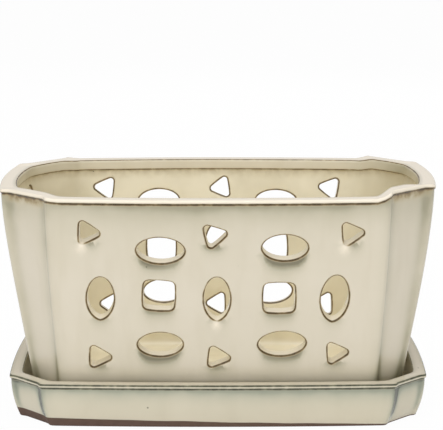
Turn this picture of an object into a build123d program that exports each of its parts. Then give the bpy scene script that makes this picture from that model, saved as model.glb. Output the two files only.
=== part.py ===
from build123d import *
from math import atan2, copysign, cos, degrees, hypot, sin, sqrt
import os

# Slotted orchid pot standing in its drip tray, in millimetres.
# X runs along the pot, -Y is the front, and Z = 0 is the surface that the tray stands on.

# Pot, measured over the lip
pot_length = 254.0
pot_depth = 155.0
pot_height = 124.5
pot_wall = 7.0
pot_floor = 6.0
floor_bevel = 4.0

# Flat lip round the pot's mouth
lip_width = 9.8
lip_height = 5.0
lip_overhang = 0.8
lip_bevel = 1.3

# Pot wall: upright under the lip, then leaning in at this slope
wall_lean = 0.195
shoulder_height = 25.0
section_steps = (0.0, 0.13, 0.34, 0.64, 1.0)

# Pot plan: bowed sides, and cut corners set back behind an ear at each end.
# Bow and cut shrink by these amounts for each millimetre that the wall leans in.
side_bow = 4.8
end_bow = 4.0
bow_loss = 0.13
corner_cut = 27.0
cut_loss = 0.58
corner_notch = 3.6
ear_bevel = 1.4

# Three cutters for the slots
triangle_side = 15.5
triangle_bevel = 2.2
almond_length = 27.3
almond_width = 16.3
almond_round = 3.0
square_side = 17.6
square_bulge = 0.7
square_round = 3.0

# Slot rows and columns
top_row_drop = 18.0
bottom_row_rise = 34.0
oval_row_step = 8.0
column_pitch = 24.0
side_slot_margin = 26.5
end_slot_margin = 18.0
top_row_spread = 6.0
slot_clearance = 6.0

# Pot foot, with a gap in each side, and the drain holes above it
foot_width = 8.0
foot_height = 3.0
foot_gap = 18.0
foot_bevel = 1.5
drain_diameter = 21.0
drain_spacing = 103.0

# Drip tray, which stands this far clear of the pot at its mouth
tray_gap = 4.3
tray_height = 26.2
tray_floor = 7.0
tray_wall = 6.0
tray_flare = 3.9
tray_steps = (0.0, 0.5, 1.0)
tray_corner_cut = 18.5
tray_corner_notch = 2.6
tray_ear_bevel = 1.0
tray_lip_width = 7.4
tray_lip_height = 3.0
tray_lip_overhang = 0.8
tray_lip_bevel = 0.9
tray_foot_width = 12.0
tray_foot_height = 2.0
tray_foot_bevel = 1.3

os.makedirs("parts", exist_ok=True)


class NotchedOutline(BaseSketchObject):
    # Bowed sides that end in bevelled ears, with the 45-degree corners set back between them

    def __init__(self, length, depth, bows, cut, notch, bevel, mode=Mode.ADD):
        ear_x = length / 2 - bows[1]
        ear_y = depth / 2 - bows[0]
        side_end = ear_x - cut
        end_end = ear_y - cut
        with BuildSketch() as outline:
            with BuildLine():
                corner = Polyline(
                    (side_end - bevel, ear_y),
                    (side_end, ear_y - bevel),
                    (side_end, ear_y - notch),
                    (ear_x - notch, end_end),
                    (ear_x - bevel, end_end),
                    (ear_x, end_end - bevel),
                )
                facing = mirror(corner, about=Plane.YZ)
                side = ThreePointArc(corner @ 0, (0, depth / 2), facing @ 0)
                end = ThreePointArc(corner @ 1, (length / 2, 0), (ear_x, bevel - end_end))
                mirror([side, corner, facing], about=Plane.XZ)
                mirror(end, about=Plane.YZ)
            make_face()
        super().__init__(outline.sketch, mode=mode)


class HollowOutline(BaseSketchObject):
    # The smooth inside of such an outline: bowed sides and plain cut corners

    def __init__(self, length, depth, bows, cut, mode=Mode.ADD):
        corner_x = length / 2 - bows[1]
        corner_y = depth / 2 - bows[0]
        with BuildSketch() as outline:
            with BuildLine():
                corner = Line((corner_x - cut, corner_y), (corner_x, corner_y - cut))
                facing = mirror(corner, about=Plane.YZ)
                side = ThreePointArc(corner @ 0, (0, depth / 2), facing @ 0)
                end = ThreePointArc(corner @ 1, (length / 2, 0), (corner_x, cut - corner_y))
                mirror([side, corner, facing], about=Plane.XZ)
                mirror(end, about=Plane.YZ)
            make_face()
        super().__init__(outline.sketch, mode=mode)


class TriangleSlot(BaseSketchObject):
    # Triangle with clipped corners that points along the wall

    def __init__(self, mode=Mode.ADD):
        with BuildSketch() as slot:
            RegularPolygon(triangle_side / sqrt(3), 3)
            chamfer(slot.vertices(), triangle_bevel)
        super().__init__(slot.sketch, mode=mode)


class AlmondSlot(BaseSketchObject):
    # Two arcs that meet in soft points

    def __init__(self, rotation=0, mode=Mode.ADD):
        with BuildSketch() as slot:
            with BuildLine():
                ThreePointArc((-almond_length / 2, 0), (0, almond_width / 2), (almond_length / 2, 0))
                mirror(about=Plane.XZ)
            make_face()
            fillet(slot.vertices(), almond_round)
        super().__init__(slot.sketch, rotation=rotation, mode=mode)


class SquareSlot(BaseSketchObject):
    # Square with slightly swollen sides and round corners

    def __init__(self, mode=Mode.ADD):
        half = square_side / 2
        swollen = half + square_bulge
        with BuildSketch() as slot:
            with BuildLine():
                top = ThreePointArc((-half, half), (0, swollen), (half, half))
                right = ThreePointArc((half, half), (swollen, 0), (half, -half))
                mirror(top, about=Plane.XZ)
                mirror(right, about=Plane.YZ)
            make_face()
            fillet(slot.vertices(), square_round)
        super().__init__(slot.sketch, mode=mode)


def wall_face(drop):
    # How far the pot's wall lies inside the lip's edge at this depth below the lip's top
    return lip_overhang + wall_lean * (hypot(drop, shoulder_height) - shoulder_height)


def pot_plan(inset):
    # Length, depth, bows and corner cut of the pot's outer face where it lies this far in
    bows = (side_bow - bow_loss * inset, end_bow - bow_loss * inset)
    return pot_length - 2 * inset, pot_depth - 2 * inset, bows, corner_cut - cut_loss * inset


def tray_plan(inset):
    # The same for the tray's outer face, measured in from its lip
    length, depth, bows, cut = pot_plan(wall_face(pot_top - tray_height))
    reach = tray_gap + tray_lip_width - inset
    return length + 2 * reach, depth + 2 * reach, bows, tray_corner_cut


def tray_face(step):
    # How far the tray's wall lies inside its lip's edge, from its neck to its foot
    return tray_lip_overhang + tray_flare * step**2


def hollow_plan(plan, wall, notch):
    # The smooth outline that lies one wall thickness inside a notched one
    length, depth, bows, cut = plan
    return length - 2 * wall, depth - 2 * wall, bows, cut + notch - (2 - sqrt(2)) * wall


pot_base = tray_floor
pot_top = pot_base + pot_height
pot_neck = pot_top - lip_height
foot_face = wall_face(pot_height - foot_bevel)
body_height = pot_neck - pot_base - foot_bevel
pot_bevel = min(ear_bevel, corner_notch / 2)

hollow_depth = pot_neck - pot_base - foot_height - pot_floor
hollow_run = wall_face(lip_height + hollow_depth) - wall_face(lip_height)
hollow_taper = degrees(atan2(hollow_run, hollow_depth))

tray_neck = tray_height - tray_lip_height
basin_taper = degrees(atan2(tray_flare, tray_neck))
tray_bevel = min(tray_ear_bevel, tray_corner_notch / 2)

bottom_row_drop = pot_height - bottom_row_rise
middle_row_drop = (top_row_drop + bottom_row_drop) / 2
slot_fall = bottom_row_drop - top_row_drop
slot_lean = atan2(wall_face(bottom_row_drop) - wall_face(top_row_drop), slot_fall)
triangle_row = slot_fall / 2 / cos(slot_lean)
oval_row = triangle_row - oval_row_step
slot_reach = pot_wall + side_bow + slot_clearance

middle_length, middle_depth, middle_bows, middle_cut = pot_plan(wall_face(middle_row_drop))
side_reach = middle_length / 2 - middle_bows[1] - middle_cut - side_slot_margin
end_reach = middle_depth / 2 - middle_bows[0] - middle_cut - end_slot_margin
slot_walls = (
    (0, middle_depth / 2, side_reach),
    (90, middle_length / 2, end_reach),
    (180, middle_depth / 2, side_reach),
    (270, middle_length / 2, end_reach),
)


def slot_plane(turn, half_span):
    # Plane in the middle of a wall at the middle row, square to the wall's lean
    front = Plane(
        origin=(0, pot_wall / 2 - half_span, pot_top - middle_row_drop),
        x_dir=(1, 0, 0),
        z_dir=(0, -cos(slot_lean), -sin(slot_lean)),
    )
    return Plane(Rot(0, 0, turn) * front.location)


with BuildPart() as pot:
    for step in section_steps:
        drop = lip_height + body_height * step
        with BuildSketch(Plane.XY.offset(pot_top - drop)):
            NotchedOutline(*pot_plan(wall_face(drop)), corner_notch, pot_bevel)
    loft()
    for rise in (0, foot_bevel):
        with BuildSketch(Plane.XY.offset(pot_base + rise)):
            NotchedOutline(*pot_plan(foot_face + foot_bevel - rise), corner_notch, pot_bevel)
    loft()
    with BuildSketch(Plane.XY.offset(pot_neck)):
        NotchedOutline(*pot_plan(0), corner_notch, pot_bevel)
    extrude(amount=lip_height)

    with BuildSketch(Plane(origin=(0, 0, pot_neck), z_dir=(0, 0, -1))):
        HollowOutline(*hollow_plan(pot_plan(wall_face(lip_height)), pot_wall, corner_notch))
    extrude(amount=hollow_depth, taper=hollow_taper, mode=Mode.SUBTRACT)
    floor_height = pot_neck - hollow_depth
    chamfer(pot.edges().filter_by_position(Axis.Z, floor_height, floor_height), floor_bevel)
    with BuildSketch(Plane.XY.offset(pot_neck)):
        HollowOutline(*hollow_plan(pot_plan(0), lip_width, corner_notch))
    extrude(amount=lip_height, mode=Mode.SUBTRACT)
    chamfer(pot.faces().sort_by(Axis.Z)[-1].edges(), lip_bevel)

    # Columns alternate from each end of a wall: triangles round an almond, then ovals round a square
    for turn, half_span, reach in slot_walls:
        last = max(int(reach / column_pitch), 0)
        with BuildSketch(slot_plane(turn, half_span)):
            for column in range(-last, last + 1):
                place = reach * column / max(last, 1)
                outermost = last > 0 and abs(column) == last
                top_place = place + copysign(top_row_spread, column) if outermost else place
                if (last - column) % 2 == 0:
                    with Locations((top_place, triangle_row), (place, -triangle_row)):
                        TriangleSlot()
                    with Locations((place, 0)):
                        AlmondSlot(rotation=90)
                else:
                    with Locations((place, oval_row), (place, -oval_row)):
                        AlmondSlot()
                    with Locations((place, 0)):
                        SquareSlot()
        extrude(amount=slot_reach, both=True, mode=Mode.SUBTRACT)

    with BuildSketch(Plane.XY.offset(pot_base)):
        HollowOutline(*hollow_plan(pot_plan(foot_face), foot_width, corner_notch))
        Rectangle(foot_gap, pot_depth)
        Rectangle(pot_length, foot_gap)
    extrude(amount=foot_height, mode=Mode.SUBTRACT)
    with GridLocations(drain_spacing, 1, 2, 1):
        Hole(drain_diameter / 2)

with BuildPart() as drip_tray:
    for step in tray_steps:
        drop = (tray_neck - tray_foot_bevel) * step
        with BuildSketch(Plane.XY.offset(tray_neck - drop)):
            NotchedOutline(*tray_plan(tray_face(step)), tray_corner_notch, tray_bevel)
    loft(ruled=True)
    for rise in (0, tray_foot_bevel):
        with BuildSketch(Plane.XY.offset(rise)):
            foot_inset = tray_face(1) + tray_foot_bevel - rise
            NotchedOutline(*tray_plan(foot_inset), tray_corner_notch, tray_bevel)
    loft()
    with BuildSketch(Plane.XY.offset(tray_neck)):
        NotchedOutline(*tray_plan(0), tray_corner_notch, tray_bevel)
    extrude(amount=tray_lip_height)

    with BuildSketch(Plane(origin=(0, 0, tray_neck), z_dir=(0, 0, -1))):
        HollowOutline(*hollow_plan(tray_plan(tray_face(0)), tray_wall, tray_corner_notch))
    extrude(amount=tray_neck - tray_floor, taper=basin_taper, mode=Mode.SUBTRACT)
    with BuildSketch(Plane.XY.offset(tray_neck)):
        HollowOutline(*hollow_plan(tray_plan(0), tray_lip_width, tray_corner_notch))
    extrude(amount=tray_lip_height, mode=Mode.SUBTRACT)
    chamfer(drip_tray.faces().sort_by(Axis.Z)[-1].edges(), tray_lip_bevel)

    with BuildSketch():
        HollowOutline(*hollow_plan(tray_plan(tray_face(1)), tray_foot_width, tray_corner_notch))
    extrude(amount=tray_foot_height, mode=Mode.SUBTRACT)

pot.part.label = "pot"
export_step(pot.part, "parts/pot.step")
drip_tray.part.label = "drip_tray"
export_step(drip_tray.part, "parts/drip_tray.step")
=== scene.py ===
from math import asin, atan2, cos, hypot, pi, radians, sin, sqrt, tan

import bmesh
import bpy
import numpy as np
from mathutils.geometry import delaunay_2d_cdt
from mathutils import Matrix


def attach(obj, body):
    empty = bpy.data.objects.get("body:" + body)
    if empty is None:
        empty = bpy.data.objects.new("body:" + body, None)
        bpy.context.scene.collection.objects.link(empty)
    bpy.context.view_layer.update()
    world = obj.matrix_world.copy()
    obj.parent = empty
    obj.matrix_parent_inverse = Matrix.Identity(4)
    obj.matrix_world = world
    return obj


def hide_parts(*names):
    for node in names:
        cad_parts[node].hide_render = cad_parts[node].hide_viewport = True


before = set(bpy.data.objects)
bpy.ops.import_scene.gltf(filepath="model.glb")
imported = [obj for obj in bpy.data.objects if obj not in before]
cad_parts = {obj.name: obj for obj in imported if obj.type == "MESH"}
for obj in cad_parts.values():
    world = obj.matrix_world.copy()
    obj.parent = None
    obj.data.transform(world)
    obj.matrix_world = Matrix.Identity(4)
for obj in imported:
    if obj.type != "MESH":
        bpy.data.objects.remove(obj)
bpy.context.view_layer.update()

mm = 0.001  # the forms below are written in millimetres
print("frame loaded:", sorted(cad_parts))


def tone(code):
    parts = [int(code[k:k + 2], 16) / 255 for k in (1, 3, 5)]
    return tuple(c / 12.92 if c <= 0.04045 else ((c + 0.055) / 1.055) ** 2.4 for c in parts) + (1.0,)


def addNode(tree, kind, links=None, stops=(), **settings):
    node = tree.nodes.new(kind if "Node" in kind else "ShaderNode" + kind)
    for name, value in settings.items():
        setattr(node, name, value)
    for k, (position, code) in enumerate(stops):  # a new ramp has its two ends already
        stop = node.color_ramp.elements[k] if k < 2 else node.color_ramp.elements.new(position)
        stop.position, stop.color = position, tone(code)
    for name, value in (links or {}).items():
        if isinstance(value, bpy.types.NodeSocket):
            tree.links.new(value, node.inputs[name])
        else:
            node.inputs[name].default_value = value
    return node.outputs


def smoothStep(value):
    value = np.clip(value, 0, 1)
    return value * value * (3 - 2 * value)


def bump(value, middle, width, height=1.0):
    return height * np.exp(-(((value - middle) / width) ** 2))


def roundEdge(size, steps):
    return [(size * (1 - sin(a)), size * (1 - cos(a)), a) for a in np.linspace(0, pi / 2, steps + 1)]


# Outlines: bowed walls, ears at their ends, cut corners set back behind the ears

# inside, the end slots reach the cut corners
ringSteps = dict(end=11, endInside=25, corner=40, side=23)
# how far from a corner the bowed walls stop, and how many points lead up to it
cornerLeads = dict(ear=(4.0, 30), hollow=(1.0, 20))
bellReach = 3  # a bell curve is cut off at this many spreads
softGap = 0.3  # step along a line that is softened


def turned(vector, angle):
    x, y = vector
    return np.array([x * cos(angle) - y * sin(angle), x * sin(angle) + y * cos(angle)])


def bowRadius(reach, bow):
    return (reach**2 + bow**2) / (2 * bow)


def roundCorner(corner, arrive, leave, radius, steps):
    turn = atan2(arrive[0] * leave[1] - arrive[1] * leave[0], arrive @ leave)
    start = np.array(corner) - arrive * radius * tan(abs(turn) / 2)
    spoke = turned(arrive, -pi / 2 if turn > 0 else pi / 2) * radius
    return np.array([start - spoke + turned(spoke, turn * k / steps) for k in range(steps + 1)])


def closeRing(quarter):
    flipped = quarter[::-1]
    return np.vstack([
        quarter[:-1],
        (flipped * (-1, 1))[:-1],
        (quarter * (-1, -1))[:-1],
        (flipped * (1, -1))[:-1],
    ])


def evenly(line, count):
    run = np.r_[0, np.cumsum(np.hypot(*np.diff(line, axis=0).T))]
    at = np.linspace(0, run[-1], count)
    return np.c_[np.interp(at, run, line[:, 0]), np.interp(at, run, line[:, 1])]


def evenLoop(loop, count):
    points = evenly(np.vstack([loop, loop[:1]]), count + 1)[:-1]
    along = np.roll(points, -1, 0) - np.roll(points, 1, 0)
    along /= np.hypot(*along.T)[:, None]
    return points, np.c_[along[:, 1], -along[:, 0]]


def softCorner(line, spread):
    length = np.hypot(*np.diff(line, axis=0).T).sum()
    dense = evenly(line, int(length / softGap) + 1)
    reach = int(bellReach * spread / softGap)
    bell = np.exp(-0.5 * (np.arange(-reach, reach + 1) * softGap / spread) ** 2)
    return np.c_[[np.convolve(part, bell / bell.sum(), "valid") for part in dense.T]].T


def bowed(middle, radius):
    return lambda at: middle + np.sqrt(radius**2 - at**2)


def cornerRing(lead, soft, endOut, endAt, sideOut, sideAt, notches=()):
    margin, steps = cornerLeads[lead]
    reach = margin + bellReach * soft
    up, back = np.linspace(endAt - reach, endAt, steps), np.linspace(sideAt, sideAt - reach, steps)
    line = np.vstack([np.c_[endOut(up), up], *notches, np.c_[back, sideOut(back)]])
    corner = evenly(softCorner(line, soft), ringSteps["corner"] + 1)
    along = np.linspace(0, corner[0][1], ringSteps["end"] + 1)[:-1]
    across = np.linspace(corner[-1][0], 0, ringSteps["side"] + 1)[1:]
    return closeRing(np.vstack([np.c_[endOut(along), along], corner, np.c_[across, sideOut(across)]]))


def notchedRing(plan, form):
    halfX, halfY, bowX, bowY, cut, notch = plan
    earX, earY = halfX - bowX, halfY - bowY
    endAt, sideAt = earY - cut, earX - cut
    endRadius, sideRadius = bowRadius(endAt, bowX), bowRadius(sideAt, bowY)
    endOut, sideOut = bowed(halfX - endRadius, endRadius), bowed(halfY - sideRadius, sideRadius)
    notches = [(earX - notch, endAt), (sideAt, earY - notch)]
    return cornerRing("ear", form["soft"], endOut, endAt, sideOut, sideAt, notches)


def hollowRing(plan, inward, form):
    halfX, halfY, bowX, bowY, cut = plan
    cornerX, cornerY = halfX - bowX, halfY - bowY
    endRadius, sideRadius = bowRadius(cornerY - cut, bowX), bowRadius(cornerX - cut, bowY)
    middleX, middleY = halfX - endRadius, halfY - sideRadius
    endRadius, sideRadius = endRadius - inward, sideRadius - inward
    line = cornerX + cornerY - cut - inward * sqrt(2)  # the cut corner lies on x + y = line
    endAt = (line - middleX - sqrt(2 * endRadius**2 - (line - middleX) ** 2)) / 2
    sideAt = (line - middleY - sqrt(2 * sideRadius**2 - (line - middleY) ** 2)) / 2
    endOut, sideOut = bowed(middleX, endRadius), bowed(middleY, sideRadius)
    return cornerRing("hollow", form["insideSoft"], endOut, endAt, sideOut, sideAt)


def hollowPlan(plan, wall):
    halfX, halfY, bowX, bowY, cut, notch = plan
    return halfX - wall, halfY - wall, bowX, bowY, cut + notch - (2 - sqrt(2)) * wall


# Meshes: rings are swept into walls, and flat sheets are filled with triangles round their holes

# grid step and clearance from the borders
sheetGrids = dict(outer=(2.6, 1.5), inner=(4.5, 2.2), potFloor=(6.0, 3.0), trayFloor=(8.0, 4.0))
gridRise, snapGap, leastArea = 0.87, 1e-7, 0.01


def inLoop(points, loop):
    x, y = points[:, :1], points[:, 1:]
    nextLoop = np.roll(loop, -1, 0)
    crosses = (loop[:, 1] > y) != (nextLoop[:, 1] > y)
    with np.errstate(divide="ignore", invalid="ignore"):
        at = loop[:, 0] + (y - loop[:, 1]) * (nextLoop[:, 0] - loop[:, 0]) / (nextLoop[:, 1] - loop[:, 1])
    return (crosses & (x < at)).sum(1) % 2 == 1


def nearest(points, loop):
    return np.array([np.min(np.hypot(*(loop - p).T)) for p in points])


def fillSheet(border, holes, grid):
    spacing, keepOff = sheetGrids[grid]
    loops = [border, *holes]
    fixed = np.vstack(loops)
    low, high = border.min(0), border.max(0)
    rows = np.arange(low[1] + spacing / 2, high[1], spacing * gridRise)
    inner = np.array([
        (x, y) for k, y in enumerate(rows)
        for x in np.arange(low[0] + spacing * (0.5 + 0.5 * (k % 2)), high[0], spacing)
    ])
    inner = inner[(nearest(inner, fixed) > keepOff) & inLoop(inner, border)]
    for hole in holes:
        inner = inner[~inLoop(inner, hole)]
    points = np.vstack([fixed, inner])
    edges, first = [], 0
    for loop in loops:
        count = len(loop)
        edges += [(first + k, first + (k + 1) % count) for k in range(count)]
        first += count
    made = delaunay_2d_cdt([tuple(p) for p in points], edges, [], 0, snapGap, True)
    source = [ids[0] for ids in made[3]]
    faces = np.array([[source[k] for k in face] for face in made[2]])
    middles = points[faces].mean(1)
    (ax, bx), (ay, by) = (points[faces[:, 1:]] - points[faces[:, :1]]).transpose(2, 1, 0)
    kept = inLoop(middles, border) & (np.abs(ax * by - ay * bx) > leastArea)
    for hole in holes:
        kept &= ~inLoop(middles, hole)
    return points, faces[kept]


class Skin:
    # gathers rings and sheets of one fired piece before they are welded

    def __init__(self):
        self.points, self.faces, self.count = [], [], 0
        self.layers = {"thin": [], "pool": [], "pale": [], "inside": []}

    def add(self, points, faces, **layers):
        self.points.append(np.asarray(points, float))
        self.faces += [[int(k) + self.count for k in face] for face in faces]
        for label, values in self.layers.items():
            values.append(np.broadcast_to(layers.get(label, 0.0), len(points)))
        self.count += len(points)

    def sweep(self, levels, openColumns=None):
        count = len(levels[0]["ring"])
        points = [np.c_[level["ring"], np.broadcast_to(level["height"], count)] for level in levels]
        faces = []
        for k in range(len(levels) - 1):
            label, low, high = levels[k].get("wall"), k * count, (k + 1) * count
            skipped = (openColumns or {}).get(label, ()) if label == levels[k + 1].get("wall") else ()
            faces += [
                [low + i, low + (i + 1) % count, high + (i + 1) % count, high + i]
                for i in range(count) if i not in skipped
            ]
        self.add(np.vstack(points), faces, **{
            label: np.concatenate([np.broadcast_to(level.get(label, 0.0), count) for level in levels])
            for label in self.layers
        })

    def fill(self, ring, holes, height, grid):
        points, faces = fillSheet(ring, holes, grid)
        self.add(np.c_[points, np.full(len(points), height)], faces, inside=1.0)

    def asMesh(self, name):
        mesh = bpy.data.meshes.new(name)
        mesh.from_pydata((np.vstack(self.points) * mm).tolist(), [], self.faces)
        for label, values in self.layers.items():
            writeLayer(mesh, label, np.concatenate(values))
        return mesh

    def weld(self, name, gap):
        mesh = self.asMesh(name)
        solid = bmesh.new()
        solid.from_mesh(mesh)
        bmesh.ops.remove_doubles(solid, verts=solid.verts, dist=gap * mm)
        loose = [v for v in solid.verts if not v.link_faces]
        bmesh.ops.delete(solid, geom=loose, context="VERTS")
        bmesh.ops.recalc_face_normals(solid, faces=solid.faces)
        openEdges = sum(not e.is_manifold for e in solid.edges)
        solid.to_mesh(mesh)
        solid.free()
        mesh.shade_smooth()
        mesh.calc_loop_triangles()
        print(name, "triangles:", len(mesh.loop_triangles), "open edges:", openEdges)
        return mesh


def readPoints(mesh):
    points = np.empty(len(mesh.vertices) * 3)
    mesh.vertices.foreach_get("co", points)
    return points.reshape(-1, 3) / mm


def writePoints(mesh, points):
    mesh.vertices.foreach_set("co", (points * mm).ravel())
    mesh.update()


def readLayer(mesh, label):
    values = np.empty(len(mesh.vertices), np.float32)
    mesh.attributes[label].data.foreach_get("value", values)
    return values


def writeLayer(mesh, label, values):
    layer = mesh.attributes.get(label) or mesh.attributes.new(label, "FLOAT", "POINT")
    layer.data.foreach_set("value", np.ascontiguousarray(values, np.float32))


def place(name, data):
    piece = bpy.data.objects.new(name, data)
    bpy.context.scene.collection.objects.link(piece)
    return piece


# Pot

potForm = dict(
    length=254.0, depth=155.0, base=7.0, top=132.5, weld=0.06,
    wall=7.0, lean=0.195, shoulder=25.0, wallFoot=6.0, wallStop=1.6, wallRows=30,
    sideBow=4.8, endBow=4.0, bowLoss=0.13, cut=27.0, cutLoss=0.58,
    notch=4.6, notchLoss=0.11, soft=1.9, insideSoft=3.0,
    lipHeight=6.4, lipFace=2.2, lipWidth=9.8, overhang=0.8,
    lipRound=1.4, innerLipRound=1.5, lipSteps=7, beadFrom=1,  # steps of a rounding, and the bead's first
    # painted highlight: the lip's rounded bead and its top are painted pale where they face the light
    beadHighlight=0.9, topShares=(0.25, 0.5, 0.75), topHighlight=1.0,
    # under the lip: inset, height above its lower edge, and how dark the brown line there is, partly glaze
    # thin at the edge, partly painted shadow under the overhang
    lipUnder=((0.95, -0.8, 0.5), (0.8, -0.35, 1.0), (0.45, -0.05, 1.0), (0.15, 0.2, 0.9),
              (0.02, 0.5, 0.3), (0.0, 0.75, 0.05)),
    # under it inside: how much narrower, height above the neck, and how dark, a line at the step and painted
    # shadow in the undercut below it
    lipInside=((0.0, 1.6, 0.0), (0.05, 1.0, 0.0), (0.3, 0.4, 0.5), (0.8, 0.05, 1.0),
               (1.3, -0.1, 0.5), (1.5, -0.3, 0.0)),
    # round the edges: at what angle the glaze breaks, how widely, how thin it is, and where the lining
    # starts; the lining's lighter colour on the inner lip face is painted light
    outerBreak=(0.6, 0.5, 0.0), innerBreak=(0.6, 0.25, 0.9), drainBreak=(0.9, 0.3, 0.8),
    lipLining=0.35, liningFrom=0.8,
    floorTop=16.0, floorUnder=10.0, floorRound=5.0, hollowStart=1.5, hollowRows=28,
    footWidth=8.0, footRound=1.6, footHeight=3.0, footGap=18.0, gapRamp=3.0, gapLift=0.7,
    footReturn=3.0, footEdge=0.8, footDip=0.2,
    drainAcross=21.0, drainApart=103.0, drainRound=1.8, drainSteps=48,
    # the long walls sagged a little in drying, so the lip steps up at the cut corners and over the ends
    cornerRise={(-1, -1): 0.3, (1, -1): 1.8, (1, 1): 0.3, (-1, 1): 0.5}, endRise={-1: 0.6, 1: 1.9},
    riseStart=-8.0, riseOver=10.0, riseFrom=80.0,
    uneven=0.3, unevenWave=34.0, unevenFrom=20.0, unevenOver=8.0,
)
neck = potForm["top"] - potForm["lipHeight"]
potLipLow = potForm["top"] - potForm["lipFace"]


def wallInset(height):
    drop = potForm["top"] - height
    return potForm["overhang"] + potForm["lean"] * (np.hypot(drop, potForm["shoulder"]) - potForm["shoulder"])


def potPlan(inset):
    f = potForm
    return (
        f["length"] / 2 - inset, f["depth"] / 2 - inset,
        f["endBow"] - f["bowLoss"] * inset, f["sideBow"] - f["bowLoss"] * inset,
        f["cut"] - f["cutLoss"] * inset, f["notch"] - f["notchLoss"] * inset,
    )


neckInset = wallInset(neck)
hollowAtNeck = hollowPlan(potPlan(neckInset), potForm["wall"])
hollowSlope = (wallInset(potForm["floorTop"]) - neckInset) / (neck - potForm["floorTop"])

# Slots, cut square to the wall's mean lean through the plane of its middle row
slotForm = dict(
    triangleSide=15.5, triangleRound=2.3, triangleBulge=0.4,
    almondLength=27.4, almondWidth=15.6, almondTips=(1.0, 1.25),
    ovalLength=26.6, ovalWidth=15.0, ovalTips=(1.05, 1.05),
    squareSide=17.0, squareBulge=0.7, squareRound=3.2,
    topDrop=19.0, lowRise=34.0, ovalStep=8.0,
    edgeRound=1.5, edgeShare=0.3, edgeSteps=6, slabHalf=4.0, weld=0.01, bendRounds=8,
    # round the edge: at what angle the glaze breaks and how widely, and how thin it is
    edgeBreak=(0.8, 0.42), thin=0.85, thinLower=0.15,
    # a painted highlight on the upward lower faces of the passages, deeper than deepFrom
    deepFrom=1.2, passageHighlight=0.55, liningDeep=1.0,
)
outlineSteps = dict(triangle=42, almond=52, square=48, side=40, corner=8, turn=720)
walls = dict(
    side=dict(span=1, columns=3, step=67.3, topStep=73.3, turns=(0, 180)),
    end=dict(span=0, columns=2, step=51.0, topStep=63.0, turns=(90, 270)),
)

# how far each slot reaches, and the run of darker glaze and pale drip beneath it
stainForm = dict(
    Triangle=dict(reach=10.0, half=5.5, edge=60.0, low=6.5, fade=3.0, depth=0.75, drip=(-3.4, -7.8)),
    Almond=dict(reach=14.7, half=5.5, edge=14.0, low=14.0, fade=3.5, depth=0.55, drip=(-0.6, -15.0)),
    Oval=dict(reach=14.7, half=11.5, edge=15.0, low=8.4, fade=3.8, depth=1.25),
    Square=dict(reach=12.5, half=8.5, edge=60.0, low=9.3, fade=4.2, depth=0.95),
)
stainEase = dict(
    side=1.2, above=1.5, uneven=(0.8, 1.1), faceDeep=0.5,
    dripSize=(2.3, 3.1), dripLong=1.3, dripPale=0.95,
)
drips = {0: (0, 5, 6), 90: (2,), 180: (3, 8), 270: (0, 5)}  # which slots a pale drip hangs from, by wall

# the slots were cut by eye: millimetres sideways and upward, and turn, of those on front and back,
# counted by column, first triangle, triangle and almond, then oval, oval and square
cutStray = {
    0: dict(enumerate((
        (1.0, 0.3, -0.05), (0.0, -0.7, -0.05), (1.7, -1.6, 0.0), (-2.4, -0.8, 0.25), (-0.6, -0.9, -0.1),
        (-0.5, -1.6, 0.0), (0.0, -0.5, 0.12), (-1.0, 1.0, 0.05), (-2.3, -2.0, -0.05), (1.5, -1.7, 0.0),
        (1.0, -0.6, 0.0), (0.9, 0.6, -0.06), (3.5, 0.0, 0.0), (2.2, 0.0, 0.05), (0.6, -1.4, 0.0),
    ))),
    180: {
        0: (2.0, 0.0, 0.15), 3: (-2.8, 0.5, -0.1), 6: (-2.5, 0.0, 0.1), 9: (-3.0, 0.0, 0.0),
        11: (-2.0, 0.0, 0.0), 12: (3.5, 0.0, 0.0), 14: (2.0, 0.0, 0.0),
    },
}
handSpread = dict(turn=0.03, grow=0.02, shift=0.2, ease=5.0, edgeEase=3.0)

lowDrop = potForm["top"] - potForm["base"] - slotForm["lowRise"]
middleHeight = potForm["top"] - (slotForm["topDrop"] + lowDrop) / 2
slotLean = atan2(
    wallInset(potForm["top"] - lowDrop) - wallInset(potForm["top"] - slotForm["topDrop"]),
    lowDrop - slotForm["topDrop"],
)
triangleRow = (lowDrop - slotForm["topDrop"]) / 2 / cos(slotLean)
ovalRow = triangleRow - slotForm["ovalStep"]


def softPolygon(corners, bulge, rounding, count):
    corners = np.array(corners, float)
    sides = []
    for start, end in zip(corners, np.roll(corners, -1, 0)):
        half = hypot(*(end - start)) / 2
        radius = bowRadius(half, bulge)
        sides.append((start, end, (end - start) / hypot(*(end - start)), radius, asin(half / radius)))
    loop = []
    for k, (start, end, way, radius, swing) in enumerate(sides):
        after = sides[(k + 1) % len(sides)]
        arrive, leave = turned(way, swing), turned(after[2], -after[4])
        bend = roundCorner(end, arrive, leave, rounding, outlineSteps["corner"])
        used = hypot(*(bend[0] - end)) / radius
        middle = (start + end) / 2 + turned(way, pi / 2) * (radius * cos(swing))
        for angle in np.linspace(-swing + used, swing - used, outlineSteps["side"])[:-1]:
            loop.append(middle + radius * (sin(angle) * way - cos(angle) * turned(way, pi / 2)))
        loop += list(bend)
    return evenLoop(np.array(loop), count)


def almondLine(length, width, tips):
    turn = np.linspace(0, 2 * pi, outlineSteps["turn"] + 1)[:-1]
    share = (1 + np.cos(turn)) / 2
    sharp = tips[0] * share + tips[1] * (1 - share)  # 1 is an ellipse's end, more is pointed
    across = np.sign(np.sin(turn)) * np.abs(np.sin(turn)) ** sharp
    return evenLoop(np.c_[np.cos(turn) * length / 2, across * width / 2], outlineSteps["almond"])


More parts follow.
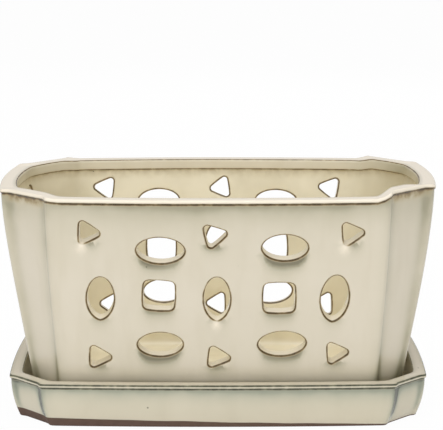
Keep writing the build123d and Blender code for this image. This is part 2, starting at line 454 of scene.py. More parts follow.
def slotOutlines():
    s = slotForm
    spoke, half = s["triangleSide"] / sqrt(3), s["squareSide"] / 2
    triangle = [turned((spoke, 0), 2 * pi * k / 3) for k in range(3)]
    square = [(half, half), (-half, half), (-half, -half), (half, -half)]
    upright = np.array([[0, 1], [-1, 0]])
    almond = almondLine(s["almondLength"], s["almondWidth"], s["almondTips"])
    return {
        "Triangle": softPolygon(triangle, s["triangleBulge"], s["triangleRound"], outlineSteps["triangle"]),
        "Almond": tuple(part @ upright for part in almond),
        "Oval": almondLine(s["ovalLength"], s["ovalWidth"], s["ovalTips"]),
        "Square": softPolygon(square, s["squareBulge"], s["squareRound"], outlineSteps["square"]),
    }


def edgeRings(outline):
    points, outward = outline
    size, share = slotForm["edgeRound"], slotForm["edgeShare"]
    return [
        (points + outward * size * (1 - sin(a) - share), size * (1 - cos(a)), a)
        for a in np.linspace(0, pi / 2, slotForm["edgeSteps"] + 1)
    ]


def slotLip(name, outline):
    s, rings, facing = slotForm, edgeRings(outline), outline[1][:, 1]
    # the second value is the painted highlight on the passages' lower faces
    bare, deep = s["thin"] - s["thinLower"] * facing, s["passageHighlight"] * np.clip(-facing, 0, 1)
    half = s["slabHalf"]
    stack = [(p, half - d, a) for p, d, a in rings] + [(p, d - half, a) for p, d, a in rings[::-1]]
    skin = Skin()
    skin.sweep([
        dict(ring=p, height=h, thin=bump(a, *s["edgeBreak"]) * bare, pale=(a > s["deepFrom"]) * deep)
        for p, h, a in stack
    ])
    return place(name, skin.asMesh(name))


def slotRowsTree():
    tree = bpy.data.node_groups.new("slotRows", "GeometryNodeTree")
    sockets = [("Slab", "Geometry"), ("Triangle Columns", "Int"), ("Oval Columns", "Int")]
    sockets += [(name, "Float") for name in ("Column Step", "Top Step", "Triangle Row", "Oval Row", "Weld")]
    sockets += [(name, "Object") for name in stainForm] + [("Glaze", "Material")]
    for name, kind in sockets:
        tree.interface.new_socket(name, in_out="INPUT", socket_type="NodeSocket" + kind)
    tree.interface.new_socket("Slotted Slab", in_out="OUTPUT", socket_type="NodeSocketGeometry")
    given = addNode(tree, "NodeGroupInput")
    joined = addNode(tree, "GeometryNodeJoinGeometry", {"Geometry": given["Slab"]})
    rows = [
        ("Triangle", "Triangle", "Top Step", 1), ("Triangle", "Triangle", "Column Step", -1),
        ("Almond", "Triangle", "Column Step", 0), ("Oval", "Oval", "Column Step", 1),
        ("Oval", "Oval", "Column Step", -1), ("Square", "Oval", "Column Step", 0),
    ]
    for shape, group, step, side in rows:
        columns, row = given[group + " Columns"], given[group + " Row"]
        gaps = addNode(tree, "Math", {0: columns, 1: 1.0}, operation="SUBTRACT")
        width = addNode(tree, "Math", {0: gaps[0], 1: given[step]}, operation="MULTIPLY")
        left = addNode(tree, "Math", {0: width[0], 1: -0.5}, operation="MULTIPLY")
        up = addNode(tree, "Math", {0: row, 1: float(side)}, operation="MULTIPLY")
        start = addNode(tree, "CombineXYZ", {"X": left[0], "Y": up[0]})
        stride = addNode(tree, "CombineXYZ", {"X": given[step]})
        line = addNode(tree, "GeometryNodeMeshLine", {
            "Count": columns, "Start Location": start[0], "Offset": stride[0]})
        lip = addNode(tree, "GeometryNodeObjectInfo", {"Object": given[shape]})
        spread = addNode(tree, "GeometryNodeInstanceOnPoints", {
            "Points": line[0], "Instance": lip["Geometry"]})
        tree.links.new(spread[0], joined[0].node.inputs[0])
    real = addNode(tree, "GeometryNodeRealizeInstances", {0: joined[0]})
    weld = addNode(tree, "GeometryNodeMergeByDistance", {0: real[0], "Distance": given["Weld"]})
    soft = addNode(tree, "GeometryNodeSetShadeSmooth", {0: weld[0]})
    coat = addNode(tree, "GeometryNodeSetMaterial", {0: soft[0], "Material": given["Glaze"]})
    addNode(tree, "NodeGroupOutput", {0: coat[0]})
    return tree


def slotCentres(wall):
    half = (wall["columns"] - 1) / 2
    found = []
    for k in range(wall["columns"]):
        along = (k - half) * wall["step"]
        found.append(("Triangle", (k - half) * wall["topStep"], triangleRow))
        found += [("Triangle", along, -triangleRow), ("Almond", along, 0.0)]
    for k in range(wall["columns"] - 1):
        along = (k - half + 0.5) * wall["step"]
        found += [("Oval", along, ovalRow), ("Oval", along, -ovalRow), ("Square", along, 0.0)]
    return found


def cutSlots(wall, side):
    strays = cutStray.get(side, {})
    return [(*slot, *strays.get(k, (0.0, 0.0, 0.0))) for k, slot in enumerate(slotCentres(wall))]


def panelHalf(wall, label):
    if wall["span"] == 1:
        return ringSteps["side"]
    return ringSteps["end" if label == "outer" else "endInside"]


def panelRows(wall, label, levels):
    count = len(levels[0]["ring"])
    middle = count * 3 // 4 if wall["span"] == 1 else 0
    half = panelHalf(wall, label)
    rows = []
    for level in levels:
        if level.get("wall") == label:
            ring = level["ring"][np.arange(middle - half, middle + half + 1) % count]
            along, out = (ring[:, 0], -ring[:, 1]) if wall["span"] == 1 else (ring[:, 1], ring[:, 0])
            rows.append((level["height"], along, out))
    return sorted(rows, key=lambda row: row[0])


def faceOut(rows, along, height):
    outs = np.array([np.interp(along, row[1], row[2]) for row in rows])
    heights = np.array([row[0] for row in rows])
    above = np.clip(np.searchsorted(heights, height), 1, len(rows) - 1)
    share = (height - heights[above - 1]) / (heights[above] - heights[above - 1])
    each = np.arange(len(along))
    return outs[above - 1, each] * (1 - share) + outs[above, each] * share


def slabOrigin(wall):
    return potPlan(wallInset(middleHeight))[wall["span"]] - potForm["wall"] / 2


def ontoSlab(wall, out, height):
    return sin(slotLean) * (out - slabOrigin(wall)) + cos(slotLean) * (height - middleHeight)


def slabBorder(wall, rows):
    rows = [np.c_[along, ontoSlab(wall, out, height)] for height, along, out in rows]
    return np.vstack([
        rows[0], [row[-1] for row in rows[1:-1]], rows[-1][::-1], [row[0] for row in rows[-2:0:-1]],
    ])


def bendSlab(wall, flat, faces):
    along, across, depth = flat.T
    made = np.empty_like(flat)
    for label, side in (("outer", 1), ("inner", -1)):
        mine = depth * side > 0
        a, v = along[mine], across[mine]
        w = np.zeros(len(a))
        for _ in range(slotForm["bendRounds"]):  # closes in on where the cut meets the bowed face
            height = middleHeight + v * cos(slotLean) - w * sin(slotLean)
            w = (faceOut(faces[label], a, height) - slabOrigin(wall) - v * sin(slotLean)) / cos(slotLean)
        w += depth[mine] - side * slotForm["slabHalf"]
        out = slabOrigin(wall) + v * sin(slotLean) + w * cos(slotLean)
        made[mine] = np.c_[a, -out, middleHeight + v * cos(slotLean) - w * sin(slotLean)]
    return made


def handCut(wall, flat, faces, side):
    h = handSpread
    chance = np.random.default_rng(side)
    guard = np.ones(len(flat))  # nothing moves at the edges of the slab
    for rows in faces.values():
        border = slabBorder(wall, rows)
        near = nearest(flat[:, :2], border) / h["edgeEase"]
        guard = np.minimum(guard, np.where(inLoop(flat[:, :2], border), near, 0))
    moved = flat.copy()
    for shape, a, v, sideways, upward, turn in cutSlots(wall, side):
        turn, grow = turn + chance.normal(0, h["turn"]), chance.normal(0, h["grow"], 2)
        shift = chance.normal(0, h["shift"], 2) + (sideways, upward)
        away = flat[:, :2] - (a, v)
        hold = smoothStep(1 - (np.hypot(*away.T) - stainForm[shape]["reach"]) / h["ease"])
        spun = np.c_[-away[:, 1], away[:, 0]] * turn
        moved[:, :2] += (hold * guard)[:, None] * (spun + away * grow + shift)
    return moved


def slotStains(wall, flat, side):
    e = stainEase
    chance = np.random.default_rng(side + 1)
    pool, pale = np.zeros(len(flat)), np.zeros(len(flat))
    for k, (shape, a, v, sideways, upward, _) in enumerate(cutSlots(wall, side)):
        stain = stainForm[shape]
        across, below = flat[:, 0] - a - sideways, v + upward - flat[:, 1]
        edge = stain["low"] * np.sqrt(np.clip(1 - (across / stain["edge"]) ** 2, 0, 1))
        within = 1 / (1 + np.exp((np.abs(across) - stain["half"]) / e["side"]))
        fall = np.where(below > edge - e["above"], np.exp(-np.clip(below - edge, 0, None) / stain["fade"]), 0)
        pool = np.maximum(pool, stain["depth"] * chance.uniform(*e["uneven"]) * within * fall)
        size = chance.uniform(*e["dripSize"])
        if k in drips[side]:
            away = np.c_[across, -below] - stain["drip"]
            pale = np.maximum(pale, e["dripPale"] * bump(away, 0, (size, size * e["dripLong"])).prod(1))
    face = flat[:, 2] > slotForm["slabHalf"] - e["faceDeep"]
    return np.where(face, pool, 0), np.where(flat[:, 2] > 0, pale, 0)


def wallAndLip(planAt, insetAt, foot, f, wall=None):
    low = f["top"] - f["lipFace"]
    for height in np.linspace(foot, low - f["wallStop"], f["wallRows"]):
        yield dict(ring=notchedRing(planAt(insetAt(height)), f), height=height, wall=wall)
    for inset, rise, thin in f["lipUnder"]:
        yield dict(ring=notchedRing(planAt(inset), f), height=low + rise, thin=thin)
    for drop, inset, a in roundEdge(f["lipRound"], f["lipSteps"])[f["beadFrom"]:]:
        thin, pale = bump(a, *f["outerBreak"]), f["beadHighlight"]
        yield dict(ring=notchedRing(planAt(inset), f), height=f["top"] - drop, thin=thin, pale=pale)


def lipTop(outer, plan, f):
    edge = roundEdge(f["innerLipRound"], f["lipSteps"])
    rings = [hollowRing(hollowPlan(plan, f["lipWidth"] - side), 0, f) for side, _, _ in edge]
    for share in f["topShares"]:
        yield dict(ring=outer * (1 - share) + rings[0] * share, height=f["top"], pale=f["topHighlight"])
    for ring, (_, drop, a) in zip(rings, edge):
        thin, inside = bump(a, *f["innerBreak"]), f["lipLining"] if a > f["liningFrom"] else 0.0
        yield dict(ring=ring, height=f["top"] - drop, thin=thin, inside=inside)


def hollowLevels(plan, slope, top, f, wall=None):
    for height in np.linspace(top - f["hollowStart"], f["floorTop"] + f["floorRound"], f["hollowRows"]):
        yield dict(ring=hollowRing(plan, slope * (top - height), f), height=height, wall=wall, inside=1.0)
    low = slope * (top - f["floorTop"] - f["floorRound"])
    for up, inward, _ in roundEdge(f["floorRound"], 5)[1:]:
        yield dict(ring=hollowRing(plan, low + inward, f), height=f["floorTop"] + up, inside=1.0)


def potOutside():
    f = potForm
    inset = wallInset(f["base"] + f["footRound"])
    foot, wide = hollowPlan(potPlan(inset), f["footWidth"]), notchedRing(potPlan(inset), f)
    gap = np.clip((f["footGap"] / 2 + f["gapRamp"] / 2 - np.abs(wide)) / f["gapRamp"], 0, 1)
    lift = f["footHeight"] * gap.max(1)
    dip = f["footDip"] * (1 - lift / f["footHeight"])
    yield dict(ring=hollowRing(foot, f["footReturn"], f), height=f["floorUnder"])
    yield dict(ring=hollowRing(foot, f["footEdge"], f), height=f["floorUnder"] - dip)
    yield dict(ring=hollowRing(foot, 0.0, f), height=f["base"] + f["footEdge"] + lift * f["gapLift"])
    yield dict(ring=hollowRing(foot, -f["footEdge"], f), height=f["base"] + lift)
    for side, up, _ in roundEdge(f["footRound"], 4):
        yield dict(ring=notchedRing(potPlan(inset + side), f), height=f["base"] + lift + up)
    yield from wallAndLip(potPlan, wallInset, f["base"] + f["wallFoot"], f, "outer")


def potInside(outer):
    f = potForm
    yield from lipTop(outer, potPlan(0), f)
    for narrower, rise, thin in f["lipInside"]:
        ring = hollowRing(hollowPlan(potPlan(0), f["lipWidth"] - narrower), 0, f)
        yield dict(ring=ring, height=neck + rise, thin=thin, inside=f["lipLining"] if rise > 0 else 1.0)
    yield from hollowLevels(hollowAtNeck, hollowSlope, neck, f, "inner")


def drainHoles(skin):
    f, edge = potForm, roundEdge(potForm["drainRound"], 5)
    turns = np.linspace(0, 2 * pi, f["drainSteps"], endpoint=False)
    spokes = np.c_[np.cos(turns), np.sin(turns)]
    stack = [(f["drainAcross"] / 2 + side, f["floorTop"] - deep, a) for side, deep, a in edge]
    stack += [(f["drainAcross"] / 2 + side, f["floorUnder"] + deep, a) for side, deep, a in edge[::-1]]
    centres = [(-f["drainApart"] / 2, 0), (f["drainApart"] / 2, 0)]
    for centre in centres:
        skin.sweep([
            dict(ring=spokes * size + centre, height=height, thin=bump(a, *f["drainBreak"]), inside=1.0)
            for size, height, a in stack
        ])
    return [spokes * stack[0][0] + centre for centre in centres]


def slottedWall(wall, levels, tree, lips, glaze):
    outlines = slotOutlines()
    holes = [edgeRings(outlines[shape])[0][0] + (a, v) for shape, a, v in slotCentres(wall)]
    wallFaces = {label: panelRows(wall, label, levels) for label in ("outer", "inner")}
    skin = Skin()
    for label, depth in (("outer", slotForm["slabHalf"]), ("inner", -slotForm["slabHalf"])):
        skin.fill(slabBorder(wall, wallFaces[label]), holes, depth, label)
    slab = place("slab", skin.asMesh("slab"))
    rowsOn = slab.modifiers.new("slotRows", "NODES")
    rowsOn.node_group = tree
    values = {
        "Triangle Columns": wall["columns"], "Oval Columns": wall["columns"] - 1,
        "Column Step": wall["step"] * mm, "Top Step": wall["topStep"] * mm,
        "Triangle Row": triangleRow * mm, "Oval Row": ovalRow * mm, "Weld": slotForm["weld"] * mm,
        "Glaze": glaze, **lips,
    }
    for socket in tree.interface.items_tree:
        if socket.name in values:
            rowsOn[socket.identifier] = values[socket.name]
    made = bpy.data.meshes.new_from_object(slab.evaluated_get(bpy.context.evaluated_depsgraph_get()))
    bpy.data.objects.remove(slab)
    layers = {label: readLayer(made, label) for label in ("thin", "pale")}
    return readPoints(made), [list(p.vertices) for p in made.polygons], layers, wallFaces


def buildPot(glaze):
    levels = list(potOutside())
    levels += potInside(levels[-1]["ring"])
    count = len(levels[0]["ring"])
    openColumns = {"outer": set(), "inner": set()}
    for label, columns in openColumns.items():
        for k, wall in enumerate(("end", "side", "end", "side")):
            middle, half = k * count // 4, panelHalf(walls[wall], label)
            columns |= {i % count for i in range(middle - half, middle + half)}
    skin = Skin()
    skin.sweep(levels, openColumns)
    drains = drainHoles(skin)
    skin.fill(levels[0]["ring"], drains, potForm["floorUnder"], "potFloor")
    skin.fill(levels[-1]["ring"], drains, potForm["floorTop"], "potFloor")
    lips = {name: slotLip(name, outline) for name, outline in slotOutlines().items()}
    tree = slotRowsTree()
    for name, wall in walls.items():
        flat, faces, layers, wallFaces = slottedWall(wall, levels, tree, lips, glaze)
        for turn in wall["turns"]:
            cut = handCut(wall, flat, wallFaces, turn)
            bent = bendSlab(wall, cut, wallFaces)
            pool, pale = slotStains(wall, cut, turn)
            c, s = cos(radians(turn)), sin(radians(turn))
            spun = np.c_[bent[:, 0] * c - bent[:, 1] * s, bent[:, 0] * s + bent[:, 1] * c, bent[:, 2]]
            thin, pale = layers["thin"] * (1 - pale), np.maximum(layers["pale"], pale)
            # the passages take the inside colour, painted lighter than the outer face
            inside = flat[:, 2] < slotForm["slabHalf"] - slotForm["liningDeep"]
            skin.add(spun, faces, thin=thin, pool=pool, pale=pale, inside=inside)
        print("slotted wall:", name, len(faces), "faces")
    for lip in lips.values():
        bpy.data.objects.remove(lip)
    return skin.weld("glazedPot", potForm["weld"])


# Drip tray

trayForm = dict(
    gap=4.3, top=26.2, floorTop=7.0, wall=6.0, flare=3.9, weld=0.02,
    lipHeight=3.0, lipFace=2.2, lipWidth=7.4, overhang=0.8,
    lipRound=1.1, innerLipRound=1.2, lipSteps=6, beadFrom=0,
    # a fainter painted highlight on the rim's top, none on its bead
    beadHighlight=0.0, topShares=(0.33, 0.67), topHighlight=0.4,
    # as on the pot, except that lipInside counts inward from the basin's edge
    lipUnder=((0.79, -0.9, 0.5), (0.78, -0.5, 1.0), (0.6, -0.2, 1.0), (0.3, 0.05, 1.0),
              (0.05, 0.35, 0.4), (0.0, 0.7, 0.0)),
    outerBreak=(0.6, 0.5, 1.0), innerBreak=(0.7, 0.28, 0.8), lipLining=1.0, liningFrom=0.8,
    lipInside=((-0.5, 0.5, 0.4), (0.0, -0.3, 0.2)),
    wallStop=1.4, wallRows=16, hollowStart=1.2, hollowRows=6, floorRound=3.5,
    cut=18.5, notch=2.8, soft=1.6, insideSoft=2.5,
    footWidth=12.0, footHeight=2.0, footRound=1.4,
    footInside=((1.5, 2.0), (0.4, 1.8), (0.0, 0.5), (-0.6, 0.0)),  # inward from the foot, and height
)
trayNeck = trayForm["top"] - trayForm["lipHeight"]
trayLipLow = trayForm["top"] - trayForm["lipFace"]


def trayInset(height):
    step = np.clip((trayNeck - height) / (trayNeck - trayForm["footRound"]), 0, 1)
    return trayForm["overhang"] + trayForm["flare"] * step**2


def trayPlan(inset):
    halfX, halfY, bowX, bowY, *_ = potPlan(wallInset(trayForm["top"]))
    reach = trayForm["gap"] + trayForm["lipWidth"] - inset
    return halfX + reach, halfY + reach, bowX, bowY, trayForm["cut"], trayForm["notch"]


def trayOutside():
    f, inset = trayForm, trayForm["overhang"] + trayForm["flare"]
    foot = hollowPlan(trayPlan(inset), f["footWidth"])
    for inward, height in f["footInside"]:
        yield dict(ring=hollowRing(foot, inward, f), height=height)
    for side, up, _ in roundEdge(f["footRound"], 5)[:-1]:
        yield dict(ring=notchedRing(trayPlan(inset + side), f), height=up)
    yield from wallAndLip(trayPlan, trayInset, f["footRound"], f)


def trayInside(outer):
    f, basin = trayForm, hollowPlan(trayPlan(trayForm["overhang"]), trayForm["wall"])
    yield from lipTop(outer, trayPlan(0), f)
    for inward, rise, thin in f["lipInside"]:
        yield dict(ring=hollowRing(basin, inward, f), height=trayNeck + rise, thin=thin, inside=1.0)
    yield from hollowLevels(basin, f["flare"] / trayNeck, trayNeck, f)


def buildTray():
    levels = list(trayOutside())
    levels += trayInside(levels[-1]["ring"])
    skin = Skin()
    skin.sweep(levels)
    skin.fill(levels[0]["ring"], [], trayForm["footHeight"], "trayFloor")
    skin.fill(levels[-1]["ring"], [], trayForm["floorTop"], "trayFloor")
    return skin.weld("glazedTray", trayForm["weld"])


# Drying and glazing: the walls warp a little, then the glaze runs down and collects; painted shade is laid
# into the same layers

# amounts, most of them with the millimetres in which they fade; ears is a corner's start and its ease
potFlow = dict(
    ears=(-2.0, 4.0), insideFrom=0.2,
    # in the pot's corner grooves: partly glaze pooled there, partly painted shade in the crease
    grooves=(1.2, 1.0), groove=(0.3, 5.0), line=(0.45, 2.3), lineTop=60.0, lineOver=40.0,
    # under the lip: partly glaze pooled there, partly painted shadow of the lip, with a painted brown shadow
    # line at the cut corners
    lip=(0.66, 11.0), cornerLess=(0.6, 5.0), cornerLipShadow=(0.75, 2.6),
    # painted shade on the lower wall, where the tray shades it
    foot=(0.25, -7.0), footRise=18.0, footMost=0.5,
    lining=0.5, liningStart=70.0, liningOver=45.0,  # the lining is darker towards the ends: painted shade in the inner corners
    shade=(0.3, 2.5), shadeDrop=0.2,  # under the inner lip
)
trayFlow = dict(
    ears=(-2.0, 4.0), insideFrom=0.5, lining=0.25,
    grooves=(0.5, 1.0), groove=(0.4, 3.5), line=(1.2, 1.9),
    lineFoot=4.0, lineFootOver=4.0, lineTop=22.0, lineOver=3.0,
    lip=(0.85, 6.5), corner=(0.5, 1.8),
)


def fromEars(points, plan):
    halfX, halfY, bowX, bowY, *_ = plan
    return np.abs(points[:, 0]) - halfX + bowX, np.abs(points[:, 1]) - halfY + bowY


def fromGrooves(points, plan):
    (x, y), (cut, notch) = fromEars(points, plan), plan[4:]
    return np.hypot(x + notch, y + cut), np.hypot(x + cut, y + notch)


def pastEars(points, plan, start, over):
    return [smoothStep((away + plan[4] - start) / over) for away in fromEars(points, plan)]


def raiseEnds(mesh):
    f, points = potForm, readPoints(mesh)
    offSide, offEnd = pastEars(points, potPlan(wallInset(points[:, 2])), f["riseStart"], f["riseOver"])
    offSide *= smoothStep((points[:, 2] - f["riseFrom"]) / (f["top"] - f["riseFrom"]))
    lift = np.zeros(len(points))
    for (alongSign, acrossSign), corner in f["cornerRise"].items():
        mine = (np.sign(points[:, 0]) == alongSign) & (np.sign(points[:, 1]) == acrossSign)
        lift[mine] = corner * offEnd[mine]
    for sign, rise in f["endRise"].items():
        lift[points[:, 0] * sign > 0] += rise
    points[:, 2] += lift * offSide
    writePoints(mesh, points)


def unevenWalls(mesh):
    f, points = potForm, readPoints(mesh)
    x, y, z = (points / f["unevenWave"]).T  # slow waves, none in step with another
    push = 0.5 * np.sin(1.3 * x + 0.7 * z + 0.4) * np.cos(1.1 * y - 0.9 * z)
    push += 0.5 * np.sin(2.3 * x - 1.9 * y + 1.7 * z)
    away = points[:, :2] / np.maximum(np.hypot(points[:, 0], points[:, 1]), 1.0)[:, None]
    hold = np.clip((points[:, 2] - f["unevenFrom"]) / f["unevenOver"], 0, 1)
    points[:, :2] += away * (push * hold * f["uneven"])[:, None]
    writePoints(mesh, points)


def fading(height, edge, amount, reach):
    return amount * np.exp((height - edge) / reach)


def groovePoolAndShade(points, plan, flow, lineShares):
    (groove, grooveWide), (line, lineWide) = flow["groove"], flow["line"]
    pool = 0
    for away, share, lineShare in zip(fromGrooves(points, plan), flow["grooves"], lineShares):
        streak = groove * bump(away, 0, grooveWide) + line * lineShare * bump(away, 0, lineWide)
        pool = np.maximum(pool, share * streak)
    return pool


def potPoolsAndShade(mesh):
    f = potFlow
    points, inside = readPoints(mesh), readLayer(mesh, "inside") > f["insideFrom"]
    height, plan = points[:, 2], potPlan(wallInset(points[:, 2]))
    low = np.clip((f["lineTop"] - height) / f["lineOver"], 0, 1)
    groove = np.where(height < potLipLow, groovePoolAndShade(points, plan, f, (low, low)), 0)
    corner = np.prod(pastEars(points, plan, *f["ears"]), axis=0)
    clear = 1 - corner * fading(height, potLipLow, *f["cornerLess"])
    # under the lip: pooled glaze and painted shadow of the lip
    under = np.where(height < potLipLow, fading(height, potLipLow, *f["lip"]) * clear, 0)
    # painted shade above the tray, darker towards the foot
    foot = np.clip(fading(height, potForm["base"] + f["footRise"], *f["foot"]), 0, f["footMost"])
    # painted shade in the inner corners, darker towards the ends
    lining = f["lining"] * smoothStep((np.abs(points[:, 0]) - f["liningStart"]) / f["liningOver"])
    pool = np.maximum(readLayer(mesh, "pool"), groove) + under + foot
    writeLayer(mesh, "pool", np.where(inside, lining, pool))
    shade = np.where(inside & (height < neck - f["shadeDrop"]), fading(height, neck, *f["shade"]), 0)
    # at the cut corners, a painted brown shadow line right under the lip
    bare = corner * fading(height, potLipLow, *f["cornerLipShadow"])
    bare = np.where(inside | (height > potLipLow), 0, bare)
    writeLayer(mesh, "thin", np.max([readLayer(mesh, "thin"), shade, bare], axis=0))


def trayPools(mesh):
    f = trayFlow
    points, inside = readPoints(mesh), readLayer(mesh, "inside") > f["insideFrom"]
    height, plan = points[:, 2], trayPlan(trayInset(points[:, 2]))
    along = np.clip((height - f["lineFoot"]) / f["lineFootOver"], 0, 1)
    along = along * np.clip((f["lineTop"] - height) / f["lineOver"], 0, 1)
    groove = groovePoolAndShade(points, plan, f, [share * along for share in f["grooves"]])
    corner = np.prod(pastEars(points, plan, *f["ears"]), axis=0)
    under = fading(height, trayLipLow, *f["lip"]) + corner * fading(height, trayLipLow, *f["corner"])
    pool = np.where(height < trayLipLow, groove + under, 0)
    writeLayer(mesh, "pool", np.where(inside, f["lining"], pool))


# Materials: patterns in millimetres, and colours laid over one another as the glaze is

pattern = dict(cloud=32.0, runs=9.0, drawn=0.16, grain=4.0, specks=13.0, peel=0.12)


def glazeMaterial(name, look):
    made = bpy.data.materials.new(name)
    made.use_nodes = True
    tree = made.node_tree
    tree.nodes.clear()
    spot = addNode(tree, "TexCoord")["Object"]
    drawn = addNode(tree, "Mapping", {"Vector": spot, "Scale": (1.0, 1.0, pattern["drawn"])})
    cloud, runs, grain = (
        addNode(tree, "TexNoise", {"Vector": at, "Scale": 1 / (pattern[label] * mm), "Detail": detail})[0]
        for label, at, detail in (("cloud", spot, 3.0), ("runs", drawn[0], 2.0), ("grain", spot, 2.0))
    )
    pool, within, pale, thin = (
        addNode(tree, "Attribute", attribute_name=label)["Fac"]
        for label in ("pool", "inside", "pale", "thin")
    )
    runShare = addNode(tree, "MapRange", {
        "Value": runs, "From Min": 0.5, "From Max": 0.8, "To Max": look["runs"]})

    # glaze that ran down and lies thick, and painted shade under the lip, in the corner grooves, above the
    # tray and in the inner corners: greyer and greener
    uneven = addNode(tree, "MapRange", {
        "Value": cloud, "From Min": 0.25, "From Max": 0.75, "To Min": 0.65, "To Max": 1.3})
    depth = addNode(tree, "Math", {0: pool, 1: uneven[0]}, operation="MULTIPLY", use_clamp=True)
    pooledAndShaded = addNode(tree, "ValToRGB", {0: depth[0]}, stops=look["pool"])
    poolShare = addNode(tree, "MapRange", {
        "Value": depth[0], "From Min": 0.0, "From Max": 0.6, "To Max": look["poolShare"]})

    # inside, the glaze is painted lighter and warmer, standing in for light that falls into the hollow, and
    # darker towards the ends as painted shade
    blotch = addNode(tree, "MapRange", {
        "Value": cloud, "From Min": 0.35, "From Max": 0.75, "To Max": look["insideRuns"]})
    stain = addNode(tree, "Math", {0: blotch[0], 1: pool}, operation="ADD", use_clamp=True)
    lining = addNode(tree, "Mix", {
        0: stain[0], 6: tone(look["inside"]), 7: tone(look["insideDeep"])}, data_type="RGBA")

    # edges where the glaze ran off and the iron in the clay shows, and painted shadow lines under the lips in
    # the same browns
    worn = addNode(tree, "MapRange", {
        "Value": grain, "From Min": 0.25, "From Max": 0.6, "To Min": 0.55, "To Max": 1.1})
    barenessAndShadow = addNode(tree, "Math", {0: thin, 1: worn[0]}, operation="MULTIPLY", use_clamp=True)
    rustAndShadow = addNode(tree, "ValToRGB", {0: barenessAndShadow[0]}, stops=look["rustAndShadow"])
    rustShare = addNode(tree, "MapRange", {"Value": barenessAndShadow[0], "From Min": 0.04, "From Max": 0.4})

    # iron specks, about a millimetre across, one here and there
    cells = addNode(tree, "TexVoronoi", {"Vector": spot, "Scale": 1 / (pattern["specks"] * mm)})
    rare = addNode(tree, "SeparateColor", {0: cells["Color"]})
    size = addNode(tree, "MapRange", {"Value": rare[0], "From Min": 0.75, "From Max": 1.0, "To Max": 0.055})
    inSpeck = addNode(tree, "Math", {0: cells["Distance"], 1: size[0]}, operation="LESS_THAN")
    speckShare = addNode(tree, "Math", {0: inSpeck[0], 1: 0.6}, operation="MULTIPLY")

    # pale lays the real drips and the painted highlights alike
    layers = [
        (cloud, tone(look["creamDeep"])), (runShare[0], tone(look["runColour"])), (poolShare[0], pooledAndShaded[0]),
        (within, lining[2]), (pale, tone(look["pale"])), (rustShare[0], rustAndShadow[0]),
        (speckShare[0], tone(look["speck"])),
    ]
    gloss = look["gloss"]
    if "clay" in look:  # the foot was wiped clean of glaze along a wavering line
        parts = addNode(tree, "SeparateXYZ", {0: spot})
        tilt = addNode(tree, "Math", {
            0: parts["X"], 1: look["claySlope"], 2: parts["Z"]}, operation="MULTIPLY_ADD")
        waver = addNode(tree, "Math", {
            0: cloud, 1: look["clayWaver"] * mm, 2: tilt[0]}, operation="MULTIPLY_ADD")
        bare = addNode(tree, "MapRange", {
            "Value": waver[0], "From Min": (look["clayLine"] - look["clayEdge"]) * mm,
            "From Max": (look["clayLine"] + look["clayEdge"]) * mm, "To Min": 1.0, "To Max": 0.0})
        clay = addNode(tree, "Mix", {
            0: grain, 6: tone(look["clay"]), 7: tone(look["clayDeep"])}, data_type="RGBA")
        layers.append((bare[0], clay[2]))
        gloss = addNode(tree, "MapRange", {
            "Value": bare[0], "To Min": gloss, "To Max": look["clayMatt"]})[0]
    colour = tone(look["cream"])
    for share, over in layers:
        colour = addNode(tree, "Mix", {0: share, 6: colour, 7: over}, data_type="RGBA")[2]

    peel = addNode(tree, "Bump", {"Strength": 0.25, "Distance": pattern["peel"] * mm, "Height": cloud})
    coat = addNode(tree, "BsdfPrincipled", {
        "Base Color": colour, "Roughness": gloss, "IOR": 1.5, "Normal": peel[0]})
    addNode(tree, "OutputMaterial", {"Surface": coat[0]})
    return made


# stoneware dipped in cream glaze and fired: a soft wet shine, grey-green where it ran thick and where shade
# is painted, brown on bare edges and in painted shadow lines under the lips; ramps list their two ends first
potLook = dict(
    cream="#e0d7c5", creamDeep="#d8cfb9", runs=0.35, runColour="#cfc5ad",
    pool=((0.0, "#c6bfa6"), (1.0, "#6f6a51"), (0.4, "#b4ae94"), (0.7, "#979279")), poolShare=0.9,
    rustAndShadow=((0.0, "#dccfb0"), (1.0, "#43351f"), (0.3, "#ab9870"), (0.6, "#6f5c3d")),
    # the inside colour is painted lighter, for light falling into the hollow; pale is for drips and painted
    # highlights
    inside="#f7eed4", insideDeep="#cfc4a4", insideRuns=0.5,
    pale="#f8edda", speck="#5d584a", gloss=0.2,
)
# the same dip, thicker and bluer, over a foot wiped bare: a dull brown band of clay under the shine
trayLook = dict(
    potLook, cream="#ded6c1", creamDeep="#d3cab2",
    pool=((0.0, "#c9c5ae"), (1.0, "#4c5147"), (0.5, "#a9ab98"), (0.8, "#8f9484")), poolShare=0.95,
    rustAndShadow=((0.0, "#cfc9ae"), (1.0, "#45463a"), (0.3, "#9b977d"), (0.6, "#6d6c57")),
    clay="#6d574c", clayDeep="#5b493d", clayMatt=0.85,
    clayLine=4.2, clayEdge=0.15, claySlope=0.0215, clayWaver=1.4,
)
potGlaze = glazeMaterial("dippedCreamGlaze", potLook)
trayGlaze = glazeMaterial("dippedCreamGlazeWipedFoot", trayLook)
potMesh, trayMesh = buildPot(potGlaze), buildTray()
unevenWalls(potMesh)
potPoolsAndShade(potMesh)
raiseEnds(potMesh)
trayPools(trayMesh)
print("pot warped, pot and tray glazed")
pieces = (
    ("glazedPot", potMesh, potGlaze, "pot", "pot", "pot_glaze"),
    ("glazedTray", trayMesh, trayGlaze, "tray", "drip_tray", "tray_glaze"),
)
for name, mesh, glaze, body, node, slot in pieces:
    mesh.materials.clear()
    mesh.materials.append(glaze)
    piece = place(name, mesh)
    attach(piece, body)
    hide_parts(node)
print("pieces placed")

# Studio

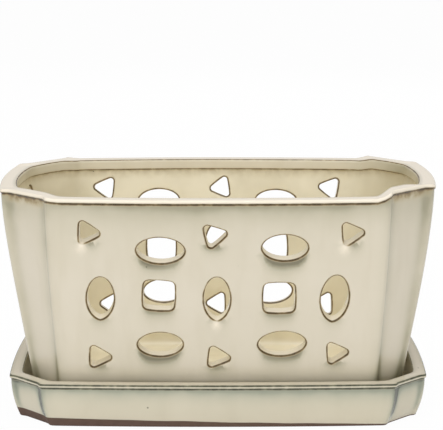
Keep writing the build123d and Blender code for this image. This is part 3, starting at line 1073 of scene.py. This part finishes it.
studio = dict(
    photoWide=443, focal=1634.7, sensor=36.0, clip=(0.01, 50.0),  # pixels, then film and metres
    eye=(-0.7, -954.0, 294.0), pitch=10.935, yaw=-0.17,
    floorHalf=8000.0, floorGlow=0.97, floorGrey=0.9, sky=0.465,
)
camera = bpy.data.cameras.new("photoCamera")
camera.sensor_fit = "HORIZONTAL"
camera.sensor_width = studio["sensor"]
camera.lens = studio["focal"] * studio["sensor"] / studio["photoWide"]
camera.clip_start, camera.clip_end = studio["clip"]
eye = place("photoCamera", camera)
eye.location = [v * mm for v in studio["eye"]]
eye.rotation_euler = radians(90 - studio["pitch"]), 0, radians(studio["yaw"])
bpy.context.scene.camera = eye
bpy.context.scene.view_settings.view_transform = "Standard"

half = studio["floorHalf"] * mm
corners = [(-half, -half, 0), (half, -half, 0), (half, half, 0), (-half, half, 0)]
floorMesh = bpy.data.meshes.new("paleFloor")
floorMesh.from_pydata(corners, [], [(0, 1, 2, 3)])
floor = place("paleFloor", floorMesh)
paper = bpy.data.materials.new("whitePaperSweep")  # plain white to the eye, with a faint shadow on it
paper.use_nodes = True
tree = paper.node_tree
tree.nodes.clear()
rays = addNode(tree, "LightPath")
mirrored = addNode(tree, "Math", {
    0: rays["Is Glossy Ray"], 1: rays["Is Transmission Ray"]}, operation="MAXIMUM")
seen = addNode(tree, "Math", {0: rays["Is Camera Ray"], 1: mirrored[0]}, operation="MAXIMUM")
share = addNode(tree, "Math", {0: seen[0], 1: studio["floorGlow"]}, operation="MULTIPLY")
matt = addNode(tree, "BsdfDiffuse", {"Color": (*[studio["floorGrey"]] * 3, 1)})
glow = addNode(tree, "Emission", {"Color": (1, 1, 1, 1), "Strength": 1.0})
both = addNode(tree, "MixShader", {0: share[0], 1: matt[0], 2: glow[0]})
addNode(tree, "OutputMaterial", {"Surface": both[0]})
floorMesh.materials.append(paper)

world = bpy.data.worlds.new("studioWorld")
bpy.context.scene.world = world
world.use_nodes = True
sky = world.node_tree.nodes["Background"].inputs
sky["Strength"].default_value, sky["Color"].default_value = studio["sky"], (1, 1, 1, 1)
lamps = dict(  # metres, degrees and watts
    overhead=dict(at=(0.0, -0.1, 1.6), aim=(0, 0, 0), size=1.3, watts=11.2, shine=True),
    keyLeft=dict(at=(-0.9, -1.2, 1.1), aim=(48, 0, -37), size=1.2, watts=4.5, shine=True),
    fillFront=dict(at=(0.1, -1.6, 0.3), aim=(84, 0, 4), size=0.9, watts=7.5, shine=False),
    fillBack=dict(at=(0.3, 1.5, 0.9), aim=(62, 0, 170), size=1.2, watts=6.0, shine=False),
)
for name, lamp in lamps.items():
    light = bpy.data.lights.new(name, "AREA")
    light.energy, light.size = lamp["watts"], lamp["size"]
    holder = place(name, light)
    holder.location = lamp["at"]
    holder.rotation_euler = [radians(a) for a in lamp["aim"]]
    holder.visible_glossy = lamp["shine"]  # the fills leave no glare on the lips
print("studio lit")
